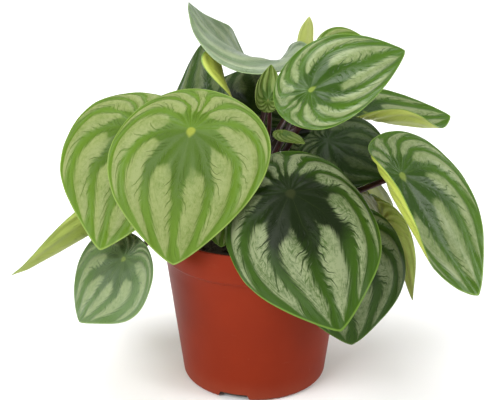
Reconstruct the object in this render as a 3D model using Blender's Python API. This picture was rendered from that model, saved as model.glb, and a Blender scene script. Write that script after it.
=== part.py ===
"""Watermelon peperomia growing in a 12 cm plastic nursery pot.

Shield-shaped leaf blades, each on a round petiole of its own, rise from a short
crown.  The crown stands on the compost that fills a tapered pot with a collar.
The pot's foot is centred on the origin and rests on z = 0.  The plant's front is
towards -Y.  Sizes are in millimetres and angles in degrees until a mesh or a curve
is made, where MM turns millimetres into the scene's metres.
"""
import math
from typing import NamedTuple

import bmesh
import bpy
import numpy as np
from mathutils import Matrix, Vector

MM = 0.001
GAP = 0.3                   # clearance between neighbouring solids

# Pot
FOOT_RADIUS = 44.0          # of the wall, carried down to the floor
FOOT_ROUNDING = 3.6
SHOULDER_RADIUS = 55.0      # of the wall where the collar steps out
SHOULDER_HEIGHT = 83.5
COLLAR_RADIUS = 59.0        # at the collar's lower edge
COLLAR_HEIGHT = 86.6
RIM_RADIUS = 60.0
RIM_HEIGHT = 105.0
WALL = 1.6
POT_SEGMENTS = 48
ROUNDING_STEPS = 4

# Drain notches, cut through the corner of wall and base
NOTCH_DIRECTIONS = (-107.0, 13.0, 133.0)
NOTCH_HEIGHT = 4.8
NOTCH_WIDTH_LOW = 21.0
NOTCH_WIDTH_HIGH = 17.0
NOTCH_INNER = 36.0          # distance of its ends from the pot's axis
NOTCH_OUTER = 50.0
NOTCH_OVERCUT = 1.0         # how far the cutter reaches below the foot

# Compost
COMPOST_EDGE = 95.0         # level at the wall
COMPOST_TOP = 97.0          # level at the crown
COMPOST_TOP_RADIUS = 30.0

# Crown, a stepped stump: one step for each ring of roots
CROWN_SEGMENTS = 24
CROWN_STEP = 1.5            # height of the slope between two steps
CROWN_TIP = 3.0             # how far the top step rises above its roots

# Blades
BLADE_THICKNESS = 1.2
BASE_LOBE = 0.32            # part of the length that lies behind the petiole joint
DRIP_TIP = 0.09             # part of the length that is the drawn-out tip
DRIP_SHARPNESS = 12
TIP_TAPER = 1.5             # over 1 narrows the tip end and keeps the base round
BLADE_RINGS = 3
BLADE_SECTORS = 20
BASE_BEND_AT = 0.3          # part of the length at which a base bend is measured

# Petioles
STALK_RADIUS = 1.5
YOUNG_STALK_RADIUS = 1.1
YOUNG_LENGTH = 31.0         # a blade no longer than this has the thinner petiole
ROOT_SWELL = 1.13           # radius at the crown over the mean radius
NECK_TAPER = 0.87           # radius at the blade over the mean radius
STALK_STEPS = 8

COLOURS = {                 # base colour and roughness
    "pot": ((0.16, 0.018, 0.006), 0.45),
    "compost": ((0.035, 0.022, 0.014), 0.95),
    "crown": ((0.12, 0.09, 0.03), 0.7),
    "petiole": ((0.06, 0.008, 0.010), 0.4),
    "leaf_light": ((0.14, 0.20, 0.05), 0.42),
    "leaf_mid": ((0.10, 0.16, 0.05), 0.36),
    "leaf_dark": ((0.06, 0.10, 0.03), 0.38),
    "leaf_young": ((0.34, 0.40, 0.10), 0.45),
}


class Ring(NamedTuple):
    """A ring of petiole roots round the crown."""

    radius: float           # of the crown's step
    height: float           # of the roots
    climb: float            # angle above level at which petioles usually leave


LOW = Ring(9.6, 102.0, 39)
MIDDLE = Ring(7.3, 109.0, 59)
TOP = Ring(3.6, 116.0, 76)


class Leaf(NamedTuple):
    """One blade with its petiole.  Right and left are seen from above, facing the tip."""

    place: tuple            # where the petiole meets the blade
    heading: float          # direction of the tip, counter-clockwise from +X
    nod: float              # how far the tip points below level
    roll: float             # turn about the midrib, right side down
    length: float           # from the petiole joint to the tip
    half_width: float
    tip_bend: float         # how far the midrib has turned down at the tip
    right_cup: float        # how far the right margin has turned down
    left_cup: float
    ring: Ring
    root: float             # direction in which the petiole leaves the crown
    tone: str = "leaf_dark"
    base_bend: float = 10   # how far the base lobe has turned down
    growth: float = 0       # extra cupping per length towards the tip
    skew: float = 0         # lean of the outline, which makes one side longer
    twist: float = 0        # turn of the tip about the midrib
    climb: float = 0        # angle above level at the root; 0 takes the ring's
    lean: float = 9         # angle of the petiole's end off the blade's normal
    root_reach: float = 0.35    # how far each end keeps its direction,
    neck_reach: float = 0.30    # as a part of the petiole's span


LEAVES = {
    "front_left": Leaf((-36, -37, 175), -116, 49, 0, 81, 50, 45, 12, 12, MIDDLE, 216, "leaf_light",
                       base_bend=4, growth=-0.2, skew=-0.1, twist=-10),
    "left": Leaf((-69, 8, 160), -117, 46, -2, 79, 49, 10, 12, 12, MIDDLE, 186, "leaf_light",
                 base_bend=23, growth=-0.3, skew=-0.1, twist=5),
    "front_right": Leaf((20, -60, 146), -66, 38, 15, 86, 53, 12, 70, 60, LOW, -70,
                        base_bend=6, growth=-0.2, twist=10),
    "upper_right": Leaf((32, -24, 194), 22, -28, 31, 70, 28, 40, 10, 6, TOP, -10, "leaf_mid",
                        base_bend=15, growth=-0.2, skew=0.2, twist=10),
    "right": Leaf((87, -15, 138), -31, 53, 13, 85, 44, -5, -80, 6, LOW, -12, "leaf_mid",
                  base_bend=4, growth=0.1, skew=0.1, twist=15, climb=17),
    "inner_right": Leaf((44, 7, 151), -26, 13, 9, 44, 37, 13, 24, 5, MIDDLE, 17,
                        base_bend=17, growth=0.3, skew=-0.1, twist=10),
    "low_right": Leaf((50, -54, 111), -46, 77, 32, 68, 42, 22, 8, 40, LOW, -36,
                      base_bend=4, growth=-0.3, skew=0.2, twist=8),
    "low_left": Leaf((-77, -34, 92), 205, 40, -1, 47, 43, 20, 4, 4, LOW, 202, "leaf_mid",
                     base_bend=3, growth=-0.2, skew=0.1, twist=-10,
                     climb=60, lean=80, root_reach=0.7, neck_reach=0.40),
    "far_left": Leaf((-74, 7, 109), -166, 29, 41, 87, 25, -4, -54, -52, LOW, 178, "leaf_light",
                     climb=62, lean=60),
    "top": Leaf((9, 56, 183), 193, -15, 35, 66, 50, -58, -44, 40, TOP, 102, "leaf_mid",
                base_bend=-89, growth=0.6, twist=-36),
    "high_right": Leaf((70, 61, 149), 29, 18, 17, 67, 35, -15, -85, 5, TOP, 62, "leaf_mid", base_bend=9,
                       growth=-0.2, twist=10, climb=83, lean=63, root_reach=0.6, neck_reach=0.34),
    "shoot": Leaf((32, 59, 189), -84, -76, 5, 30, 7, 16, -77, -76, TOP, 30, "leaf_young"),
    "crest": Leaf((53, 56, 181), 35, -6, 35, 42, 29, 15, 20, 2, MIDDLE, 66, "leaf_light",
                  skew=0.2, twist=6, climb=69, lean=50, root_reach=0.5, neck_reach=0.47),
    "upper_left": Leaf((-29, 24, 158), 90, -47, -17, 53, 44, -7, -105, 42, TOP, 180, "leaf_mid",
                       growth=0.6, skew=-0.2, twist=-25),
    "hanging_right": Leaf((80, 8, 99), -5, 68, -25, 58, 16, 5, -80, -80, LOW, 8, "leaf_light",
                          climb=56, lean=50, neck_reach=0.47),
    "front_low": Leaf((-17, -38, 132), -100, 50, 0, 28, 20, 20, 25, 25, LOW, -108, "leaf_light"),
    "back_left": Leaf((-70, 64, 126), 145, 45, 0, 72, 44, 24, 26, 26, MIDDLE, 136, "leaf_light"),
    "back": Leaf((22, 48, 138), 84, -9, 0, 51, 38, 20, 18, 18, MIDDLE, 95),
    "back_right": Leaf((60, 63, 114), 46, 48, 0, 58, 36, 24, 26, 26, LOW, 68, "leaf_mid"),
    "low_back_left": Leaf((-50, 64, 104), 145, 60, 0, 58, 36, 20, 26, 26, LOW, 146, "leaf_mid",
                          climb=54, lean=42, neck_reach=0.40),
    "low_back_right": Leaf((68, 42, 102), 34, 62, 0, 46, 26, 20, 26, 26, LOW, 29,
                           climb=72, lean=44, neck_reach=0.46),
    "low_back": Leaf((-5, 72, 107), 95, 66, 0, 56, 38, 20, 26, 26, LOW, 94, "leaf_light",
                     lean=31, neck_reach=0.35),
    "inner_back": Leaf((0, 50, 156), 95, -22, 0, 52, 40, 24, 24, 24, TOP, 140),
    "young_front": Leaf((16, -18, 166), -30, 5, 0, 16, 8, 20, 24, 24, TOP, -90, "leaf_young"),
    "young_inner": Leaf((8, -2, 180), 80, -60, 0, 22, 9, 0, -60, -60, TOP, -50, "leaf_young"),
}


def clear_scene():
    """Removes every object, so that the model starts from nothing."""
    for item in list(bpy.data.objects):
        bpy.data.objects.remove(item, do_unlink=True)


def finish(name):
    """The Principled material of one finish, made once."""
    material = bpy.data.materials.get(name)
    if material:
        return material
    colour, roughness = COLOURS[name]
    material = bpy.data.materials.new(name)
    material.use_nodes = True
    shader = material.node_tree.nodes["Principled BSDF"]
    shader.inputs["Base Color"].default_value = (*colour, 1.0)
    shader.inputs["Roughness"].default_value = roughness
    shader.inputs["Metallic"].default_value = 0.0
    material.diffuse_color = (*colour, 1.0)
    return material


def place_object(name, data, tone):
    """Links a mesh or a curve into the scene under its node name."""
    data.materials.append(finish(tone))
    item = bpy.data.objects.new(name, data)
    bpy.context.collection.objects.link(item)
    return item


# --- turned pieces: pot, compost and crown -----------------------------------------------

def arc(centre, radius, start, end):
    """Points of a profile's rounding, from one angle to the other."""
    angles = np.radians(np.linspace(start, end, ROUNDING_STEPS + 1))
    return [(centre[0] + radius * math.cos(a), centre[1] + radius * math.sin(a)) for a in angles]


def turned(name, profile, segments, tone):
    """A closed solid turned round Z from a profile that starts and ends on the axis."""
    shape = bmesh.new()
    points = [shape.verts.new(Vector((r, 0.0, z)) * MM) for r, z in profile]
    edges = [shape.edges.new(pair) for pair in zip(points, points[1:])]
    bmesh.ops.spin(shape, geom=points + edges, cent=(0, 0, 0), axis=(0, 0, 1),
                   angle=math.tau, steps=segments, use_merge=True)
    bmesh.ops.remove_doubles(shape, verts=shape.verts, dist=0.001 * MM)
    bmesh.ops.recalc_face_normals(shape, faces=shape.faces)
    mesh = bpy.data.meshes.new(name)
    shape.to_mesh(mesh)
    shape.free()
    mesh.shade_smooth()
    mesh.set_sharp_from_angle(angle=math.radians(30))
    return place_object(name, mesh, tone)


def wall_radius(height):
    """Radius of the pot's outer wall below the collar."""
    return FOOT_RADIUS + (SHOULDER_RADIUS - FOOT_RADIUS) * height / SHOULDER_HEIGHT


def corner(inset):
    """The rounded corner between base and wall, inset from the outer face."""
    taper = math.degrees(math.atan2(SHOULDER_RADIUS - FOOT_RADIUS, SHOULDER_HEIGHT))
    slant = FOOT_ROUNDING / math.cos(math.radians(taper))
    centre = (wall_radius(FOOT_ROUNDING) - slant, FOOT_ROUNDING)
    return arc(centre, FOOT_ROUNDING - inset, -90, -taper)


def make_pot():
    """The pot: tapered wall, stepped-out collar, flat base and three drain notches."""
    outside = [(0, 0), *corner(0), (SHOULDER_RADIUS, SHOULDER_HEIGHT),
               (COLLAR_RADIUS, COLLAR_HEIGHT), (RIM_RADIUS, RIM_HEIGHT)]
    inside = [(RIM_RADIUS - WALL, RIM_HEIGHT), (COLLAR_RADIUS - WALL, COLLAR_HEIGHT + WALL / 2),
              (SHOULDER_RADIUS - WALL, SHOULDER_HEIGHT + WALL / 2), *reversed(corner(WALL)),
              (0, WALL)]
    pot = turned("pot", outside + inside, POT_SEGMENTS, "pot")
    for number, direction in enumerate(NOTCH_DIRECTIONS):
        cut = pot.modifiers.new(f"drain_{number}", "BOOLEAN")
        cut.operation = "DIFFERENCE"
        cut.solver = "EXACT"
        cut.object = notch_cutter(f"notch_cutter_{number}", direction)
    return pot


def notch_cutter(name, direction):
    """A trapezoid bar, wide side down, that runs out through the pot's corner."""
    spread = (NOTCH_WIDTH_LOW - NOTCH_WIDTH_HIGH) / NOTCH_HEIGHT * NOTCH_OVERCUT
    low = (NOTCH_WIDTH_LOW + spread) / 2
    high = NOTCH_WIDTH_HIGH / 2
    section = [(-low, -NOTCH_OVERCUT), (low, -NOTCH_OVERCUT), (high, NOTCH_HEIGHT), (-high, NOTCH_HEIGHT)]
    shape = bmesh.new()
    end = shape.faces.new([shape.verts.new(Vector((NOTCH_INNER, y, z)) * MM) for y, z in section])
    run = bmesh.ops.extrude_face_region(shape, geom=[end])
    moved = [item for item in run["geom"] if isinstance(item, bmesh.types.BMVert)]
    bmesh.ops.translate(shape, verts=moved, vec=Vector((NOTCH_OUTER - NOTCH_INNER, 0, 0)) * MM)
    bmesh.ops.rotate(shape, verts=shape.verts, cent=(0, 0, 0),
                     matrix=Matrix.Rotation(math.radians(direction), 3, "Z"))
    bmesh.ops.recalc_face_normals(shape, faces=shape.faces)
    mesh = bpy.data.meshes.new(name)
    shape.to_mesh(mesh)
    shape.free()
    cutter = place_object(name, mesh, "pot")
    cutter.hide_render = True
    cutter.display_type = "WIRE"
    return cutter


def make_compost():
    """The compost: it follows the pot's inside and rises slightly towards the crown."""
    inner = WALL + GAP
    profile = [(0, inner), *corner(inner),
               (SHOULDER_RADIUS - inner, SHOULDER_HEIGHT + WALL),
               (COLLAR_RADIUS - inner, COLLAR_HEIGHT + WALL),
               (COLLAR_RADIUS - inner, COMPOST_EDGE),
               (COMPOST_TOP_RADIUS, COMPOST_TOP), (0, COMPOST_TOP)]
    return turned("compost", profile, POT_SEGMENTS, "compost")


def make_crown():
    """The crown: a short stump with one step for each ring of petiole roots."""
    between = [(lower.height + upper.height) / 2 for lower, upper in ((LOW, MIDDLE), (MIDDLE, TOP))]
    slope = CROWN_STEP / 2
    profile = [(0, COMPOST_TOP + GAP), (LOW.radius, COMPOST_TOP + GAP),
               (LOW.radius, between[0] - slope), (MIDDLE.radius, between[0] + slope),
               (MIDDLE.radius, between[1] - slope), (TOP.radius, between[1] + slope),
               (TOP.radius, TOP.height + CROWN_TIP - slope),
               (TOP.radius / 2, TOP.height + CROWN_TIP), (0, TOP.height + CROWN_TIP)]
    return turned("crown", profile, CROWN_SEGMENTS, "crown")


# --- leaves ------------------------------------------------------------------------------

def leaf_axes(leaf):
    """Unit vectors of a blade at its petiole joint: right, towards the tip, and up."""
    heading, nod, roll = (math.radians(angle) for angle in (leaf.heading, leaf.nod, leaf.roll))
    along = np.array([math.cos(heading) * math.cos(nod), math.sin(heading) * math.cos(nod),
                      -math.sin(nod)])
    level_up = np.array([math.cos(heading) * math.sin(nod), math.sin(heading) * math.sin(nod),
                         math.cos(nod)])
    level_right = np.cross(along, level_up)
    right = math.cos(roll) * level_right - math.sin(roll) * level_up
    up = math.sin(roll) * level_right + math.cos(roll) * level_up
    return right, along, up


def margin(leaf, turn):
    """Margin of the flat blade; turn goes from 0 at the base to 0.5 at the tip and on to 1."""
    sine = np.abs(np.sin(math.pi * turn))
    cosine = np.abs(np.cos(math.pi * turn))
    widest = math.sqrt(1 / (1 + TIP_TAPER)) * (TIP_TAPER / (1 + TIP_TAPER)) ** (TIP_TAPER / 2)
    side = np.where(turn <= 0.5, 1.0, -1.0)
    x = side * leaf.half_width * sine * cosine ** TIP_TAPER / widest
    way = sine ** 2
    y = leaf.length * (way * (1 - DRIP_TIP + BASE_LOBE) - BASE_LOBE
                       + DRIP_TIP * way ** DRIP_SHARPNESS)
    return x, y - leaf.skew * x * 4 * way * (1 - way)


def bent(distance, curvature):
    """Where a straight run of this length ends once it is bent to an even curvature."""
    steady = np.where(np.abs(curvature) < 1e-9, 1e-9, curvature)
    return np.sin(steady * distance) / steady, (np.cos(steady * distance) - 1) / steady


def curl(leaf, x, y):
    """Carries points of the flat blade onto the cupped, twisted and bent blade."""
    cup = np.radians(np.where(x >= 0, leaf.right_cup, leaf.left_cup)) / leaf.half_width
    across, drop = bent(np.abs(x), cup * (1 + leaf.growth * y / leaf.length))
    across = across * np.sign(x)
    twist = math.radians(leaf.twist) * y / leaf.length
    right = across * np.cos(twist) + drop * np.sin(twist)
    height = drop * np.cos(twist) - across * np.sin(twist)
    bend = np.radians(np.where(y > 0, leaf.tip_bend, leaf.base_bend / BASE_BEND_AT)) / leaf.length
    forward, sag = bent(np.abs(y), bend)
    turned_by = bend * np.abs(y)
    along = np.sign(y) * (forward + height * np.sin(turned_by))
    return right, along, sag + height * np.cos(turned_by)


def blade_points(leaf):
    """Points of the blade's middle surface: the joint, then rings out to the margin."""
    share = np.repeat(np.arange(1, BLADE_RINGS + 1) / BLADE_RINGS, BLADE_SECTORS)
    x, y = margin(leaf, np.tile(np.arange(BLADE_SECTORS) / BLADE_SECTORS, BLADE_RINGS))
    curled = curl(leaf, np.append(0, share * x), np.append(0, share * y))
    return np.array(leaf.place) + np.column_stack(curled) @ np.array(leaf_axes(leaf))


def blade_faces():
    """A fan round the joint and bands of quads out to the margin."""
    faces = []
    for sector in range(BLADE_SECTORS):
        following = (sector + 1) % BLADE_SECTORS
        faces.append((0, 1 + sector, 1 + following))
        for ring in range(BLADE_RINGS - 1):
            near = 1 + ring * BLADE_SECTORS
            far = near + BLADE_SECTORS
            faces.append((near + sector, far + sector, far + following, near + following))
    return faces


def make_blade(name, leaf):
    """A blade: its middle surface, thickened evenly to both sides."""
    mesh = bpy.data.meshes.new(name)
    mesh.from_pydata((blade_points(leaf) * MM).tolist(), [], blade_faces())
    mesh.shade_smooth()
    blade = place_object(name, mesh, leaf.tone)
    flesh = blade.modifiers.new("flesh", "SOLIDIFY")
    flesh.thickness = BLADE_THICKNESS * MM
    flesh.offset = 0
    return blade


def petiole_controls(leaf, radius):
    """Root, two handles and neck of the curve that a petiole follows."""
    climb = math.radians(leaf.climb or leaf.ring.climb)
    lean = math.radians(leaf.lean)
    root_angle = math.radians(leaf.root)
    outward = np.array([math.cos(root_angle), math.sin(root_angle), 0.0])
    seat = leaf.ring.radius + GAP + radius * ROOT_SWELL * math.sin(climb)
    root = outward * seat + np.array([0, 0, leaf.ring.height])
    leaving = outward * math.cos(climb) + np.array([0, 0, math.sin(climb)])
    _, along, up = leaf_axes(leaf)
    below = BLADE_THICKNESS / 2 + GAP + radius * NECK_TAPER * math.sin(lean)
    neck = np.array(leaf.place) - up * below
    arriving = up * math.cos(lean) + along * math.sin(lean)
    span = np.linalg.norm(neck - root)
    return (root, root + leaving * span * leaf.root_reach,
            neck - arriving * span * leaf.neck_reach, neck)


def make_petiole(name, leaf):
    """A petiole: a round stalk that tapers from the crown to the blade."""
    radius = YOUNG_STALK_RADIUS if leaf.length <= YOUNG_LENGTH else STALK_RADIUS
    root, root_handle, neck_handle, neck = petiole_controls(leaf, radius)
    curve = bpy.data.curves.new(name, "CURVE")
    curve.dimensions = "3D"
    curve.bevel_depth = radius * MM
    curve.bevel_resolution = 1
    curve.resolution_u = STALK_STEPS
    curve.render_resolution_u = STALK_STEPS
    curve.use_fill_caps = True
    spline = curve.splines.new("BEZIER")
    spline.bezier_points.add(1)
    ends = ((root, root - (root_handle - root), root_handle, ROOT_SWELL),
            (neck, neck_handle, neck + (neck - neck_handle), NECK_TAPER))
    for point, (centre, before, after, swell) in zip(spline.bezier_points, ends):
        point.handle_left_type = "FREE"
        point.handle_right_type = "FREE"
        point.co = Vector(centre) * MM
        point.handle_left = Vector(before) * MM
        point.handle_right = Vector(after) * MM
        point.radius = swell
    return place_object(name, curve, "petiole")


def main():
    """Builds the pot, its compost, the crown and every leaf."""
    clear_scene()
    make_pot()
    make_compost()
    make_crown()
    for name, leaf in LEAVES.items():
        make_blade(f"leaf_{name}", leaf)
        make_petiole(f"petiole_{name}", leaf)


main()
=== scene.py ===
"""Looks of a watermelon peperomia in a plastic nursery pot, built round its packed solids.

Every blade, petiole and turned piece is modelled again with a fine surface where its
solid stands.  Blades and petioles come from two Geometry Nodes trees that follow the
same rules as the solids; compost crumbs come from a third.  Leaf markings and skin
grain are shader node groups that the materials share.
"""

import functools
import logging
import math
from dataclasses import dataclass, field
from enum import Enum
from typing import Callable, Optional, Union

import bmesh
import bpy
import numpy as np
from mathutils import Matrix, Vector


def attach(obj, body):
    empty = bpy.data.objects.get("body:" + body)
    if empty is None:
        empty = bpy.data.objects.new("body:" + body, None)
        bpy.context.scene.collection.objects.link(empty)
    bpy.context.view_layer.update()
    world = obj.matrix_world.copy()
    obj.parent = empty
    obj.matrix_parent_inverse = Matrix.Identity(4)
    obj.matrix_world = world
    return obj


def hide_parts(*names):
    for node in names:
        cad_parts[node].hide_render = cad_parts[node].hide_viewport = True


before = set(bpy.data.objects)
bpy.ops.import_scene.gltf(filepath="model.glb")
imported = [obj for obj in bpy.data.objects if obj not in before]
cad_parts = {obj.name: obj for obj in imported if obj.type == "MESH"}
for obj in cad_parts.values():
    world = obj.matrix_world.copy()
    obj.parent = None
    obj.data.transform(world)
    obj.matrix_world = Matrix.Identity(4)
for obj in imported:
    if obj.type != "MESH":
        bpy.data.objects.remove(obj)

LOG = logging.getLogger("peperomia")
MM = 0.001
SEED_STEP = 0.37        # how far apart the blades' flat patterns lie, in metres

Colour = tuple[float, float, float]
Pair = tuple[float, float]      # a profile's point, the ends of a range, or a size and a rate
Feed = Union["Wire", bpy.types.NodeSocket, float, int, bool, str, tuple, Vector]


# --- node trees written as sums ------------------------------------------------------------

def step(operation: str, text: str, swapped: bool = False) -> Callable[..., "Wire"]:
    """A method of Wire that places one arithmetic node.

    Args:
        operation: the node's operation.
        text: the method's docstring.
        swapped: whether the wire itself comes after the other value.

    Returns:
        The method.
    """
    def method(self: "Wire", *others: Feed) -> "Wire":
        return self.graph.math(operation, *((*others, self) if swapped else (self, *others)))
    method.__doc__ = text
    return method


class Wire:
    """A node socket that can be used in sums, in geometry and shader trees alike."""

    def __init__(self, graph: "Graph", socket: bpy.types.NodeSocket) -> None:
        """Remembers the graph that new nodes go into, and the socket."""
        self.graph = graph
        self.socket = socket

    __add__ = step("ADD", "Sum.")
    __radd__ = step("ADD", "Sum with a number on the left.", swapped=True)
    __sub__ = step("SUBTRACT", "Difference.")
    __rsub__ = step("SUBTRACT", "Difference with a number on the left.", swapped=True)
    __mul__ = step("MULTIPLY", "Product.")
    __rmul__ = step("MULTIPLY", "Product with a number on the left.", swapped=True)
    __truediv__ = step("DIVIDE", "Quotient.")
    __rtruediv__ = step("DIVIDE", "Quotient with a number on top.", swapped=True)
    __pow__ = step("POWER", "Power.")
    __abs__ = step("ABSOLUTE", "Size without sign.")
    __gt__ = step("GREATER_THAN", "1 where the value is over the limit, else 0.")
    sin = step("SINE", "Sine of radians.")
    cos = step("COSINE", "Cosine of radians.")
    exp = step("EXPONENT", "Exponential.")
    sqrt = step("SQRT", "Square root.")
    floor = step("FLOOR", "Whole part.")
    fract = step("FRACT", "What is left over the whole part.")
    at_least = step("MAXIMUM", "The larger of two values.")
    at_most = step("MINIMUM", "The smaller of two values.")

    def span(self, low: Feed, high: Feed, **settings: str) -> "Wire":
        """Runs straight from 0 at low to 1 at high."""
        return self.graph.put("ShaderNodeMapRange", {0: self, 1: low, 2: high}, **settings)

    def smooth(self, low: Feed, high: Feed) -> "Wire":
        """Eases from 0 at low to 1 at high."""
        return self.span(low, high, interpolation_type="SMOOTHSTEP")

    def fade(self, low: Feed, high: Feed) -> "Wire":
        """Eases from 1 at low to 0 at high."""
        return 1 - self.smooth(low, high)

    def parts(self) -> list["Wire"]:
        """The three parts of a vector."""
        return self.graph.put_all("ShaderNodeSeparateXYZ", {0: self})


class Graph:
    """A node tree under construction."""

    def __init__(self, tree: bpy.types.NodeTree) -> None:
        """Starts on an empty or a fresh tree."""
        self.tree = tree

    def add(self, kind: str, feeds: Optional[dict] = None, **settings: object) -> bpy.types.Node:
        """Places a node.

        Args:
            kind: the node's type name.
            feeds: input name or number to a wire, socket or plain value.
            **settings: properties of the node, set before its inputs.

        Returns:
            The new node.
        """
        node = self.tree.nodes.new(kind)
        for name, value in settings.items():
            setattr(node, name, value)
        for name, value in (feeds or {}).items():
            self.feed(value, node.inputs[name])
        return node

    def put(self, kind: str, feeds: Optional[dict] = None, output: Union[int, str] = 0,
            **settings: object) -> Wire:
        """Places a node and gives the wire that leaves one of its outputs."""
        return Wire(self, self.add(kind, feeds, **settings).outputs[output])

    def put_all(self, kind: str, feeds: Optional[dict] = None, **settings: object) -> list[Wire]:
        """Places a node and gives a wire for each of its outputs."""
        return [Wire(self, socket) for socket in self.add(kind, feeds, **settings).outputs]

    def feed(self, value: Feed, socket: bpy.types.NodeSocket) -> None:
        """Links a wire or a socket to an input, or sets the input's own value."""
        if isinstance(value, Wire):
            value = value.socket
        if isinstance(value, bpy.types.NodeSocket):
            self.tree.links.new(value, socket)
        else:
            socket.default_value = value

    def math(self, operation: str, *values: Feed) -> Wire:
        """One step of arithmetic."""
        return self.put("ShaderNodeMath", dict(enumerate(values)), operation=operation)

    def chance(self, where: Feed) -> Wire:
        """An even random value from 0 to 1 for each whole-numbered vector."""
        return self.put("ShaderNodeTexWhiteNoise", {"Vector": where})

    def vector(self, x: Feed, y: Feed, z: Feed = 0.0) -> Wire:
        """A vector from its parts."""
        return self.put("ShaderNodeCombineXYZ", {0: x, 1: y, 2: z})

    def scale_add(self, vector: Feed, factor: Feed, rest: Feed = (0.0, 0.0, 0.0)) -> Wire:
        """vector times factor, plus rest."""
        return self.put("ShaderNodeVectorMath", {0: vector, 1: factor, 2: rest}, operation="MULTIPLY_ADD")

    def noise(self, where: Feed, scale: float, detail: float = 2.0, rough: float = 0.5) -> Wire:
        """Fractal noise from 0 to 1 about 0.5."""
        return self.put("ShaderNodeTexNoise", {"Vector": where, "Scale": scale, "Detail": detail,
                                               "Roughness": rough})

    def coats(self, colour: Feed, *coats: tuple[Feed, Feed]) -> Wire:
        """Lays coats over a colour, each with how far it covers what lies under it."""
        for cover, coat in coats:
            first, second = ((*value, 1.0) if isinstance(value, tuple) else value for value in (colour, coat))
            colour = self.put("ShaderNodeMix", {0: cover, 6: first, 7: second}, 2,
                              data_type="RGBA", clamp_factor=True)
        return colour

    def take_all(self, **names: tuple[str, ...]) -> dict[str, Wire]:
        """Adds named inputs to the tree, listed by kind, and gives their wires by name."""
        for kind, group in names.items():
            for name in group:
                self.tree.interface.new_socket(name, in_out="INPUT", socket_type=f"NodeSocket{kind}")
        entry = self.tree.nodes.new("NodeGroupInput")
        return {name: Wire(self, entry.outputs[name]) for group in names.values() for name in group}

    def give(self, kind: str, outputs: dict[str, Feed]) -> None:
        """Adds named outputs of one kind to the tree, each with what feeds it."""
        for name in outputs:
            self.tree.interface.new_socket(name, in_out="OUTPUT", socket_type=f"NodeSocket{kind}")
        leave = self.tree.nodes.new("NodeGroupOutput")
        for name, value in outputs.items():
            self.feed(value, leave.inputs[name])

    def store(self, shape: Feed, name: str, kind: str, domain: str, value: Feed) -> Wire:
        """Writes a named attribute and passes the shape on."""
        return self.put("GeometryNodeStoreNamedAttribute", {"Geometry": shape, "Name": name, "Value": value},
                        data_type=kind, domain=domain)

    def recall(self, name: str, kind: str) -> Wire:
        """Reads a named attribute."""
        return self.put("GeometryNodeInputNamedAttribute", {"Name": name}, data_type=kind)

    def close(self, shape: Feed, *coats: tuple[Feed, Feed]) -> None:
        """Ends a geometry tree: makes instances real and sets the materials.

        Args:
            shape: the finished geometry.
            *coats: each material with the faces it goes on.
        """
        shape = self.put("GeometryNodeRealizeInstances", {"Geometry": shape})
        for material, faces in coats:
            shape = self.put("GeometryNodeSetMaterial", {"Geometry": shape, "Selection": faces,
                                                         "Material": material})
        self.give("Geometry", {"Geometry": shape})


def geometry_graph(name: str) -> Graph:
    """A new, empty Geometry Nodes tree for a modifier."""
    tree = bpy.data.node_groups.new(name, "GeometryNodeTree")
    tree.is_modifier = True
    return Graph(tree)


def shader_group(name: str) -> Graph:
    """A new, empty shader node group."""
    return Graph(bpy.data.node_groups.new(name, "ShaderNodeTree"))


def grow(name: str, graph: Graph, values: dict[str, object],
         start: Optional[bpy.types.Mesh] = None) -> bpy.types.Object:
    """Runs a Geometry Nodes tree once and keeps its result as a plain mesh.

    Args:
        name: name of the finished piece.
        graph: the tree's graph.
        values: value of each named input.
        start: mesh that the tree works on, if it takes one.

    Returns:
        The piece, at the origin, with no modifier left on it.
    """
    seed = link_piece(f"{name}_seed", start or bpy.data.meshes.new(f"{name}_seed"))
    modifier = seed.modifiers.new("grow", "NODES")
    modifier.node_group = graph.tree
    for item in graph.tree.interface.items_tree:
        if item.item_type == "SOCKET" and item.name in values:
            modifier[item.identifier] = values[item.name]
    mesh = freeze(seed, name)
    bpy.data.objects.remove(seed, do_unlink=True)
    return link_piece(name, mesh)


def freeze(source: bpy.types.Object, name: str) -> bpy.types.Mesh:
    """The evaluated mesh of an object, as a new plain mesh."""
    bpy.context.view_layer.update()
    depsgraph = bpy.context.evaluated_depsgraph_get()
    mesh = bpy.data.meshes.new_from_object(source.evaluated_get(depsgraph),
                                           preserve_all_data_layers=True, depsgraph=depsgraph)
    mesh.name = name
    return mesh


def link_piece(name: str, data: bpy.types.ID) -> bpy.types.Object:
    """Links a mesh, light or camera into the scene as an object at the origin."""
    piece = bpy.data.objects.new(name, data)
    bpy.context.collection.objects.link(piece)
    return piece


def settle(piece: bpy.types.Object, node: Optional[str]) -> None:
    """Lets a finished piece ride on the root body, in place of its solid if it has one."""
    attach(piece, "root")
    if node:
        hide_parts(node)
    LOG.info("%s: %d faces", piece.name, len(piece.data.polygons))


# --- leaf rows -----------------------------------------------------------------------------

class Tone(Enum):
    """Age and light that a blade has had, which set its colours."""

    LIGHT = "leaf_light"
    MID = "leaf_mid"
    DARK = "leaf_dark"
    YOUNG = "leaf_young"


@dataclass(frozen=True)
class Ring:
    """A ring of petiole roots round the crown, in millimetres and degrees."""

    radius: float
    height: float
    climb: float


LOW = Ring(9.6, 102.0, 39)
MIDDLE = Ring(7.3, 109.0, 59)
TOP = Ring(3.6, 116.0, 76)


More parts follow.
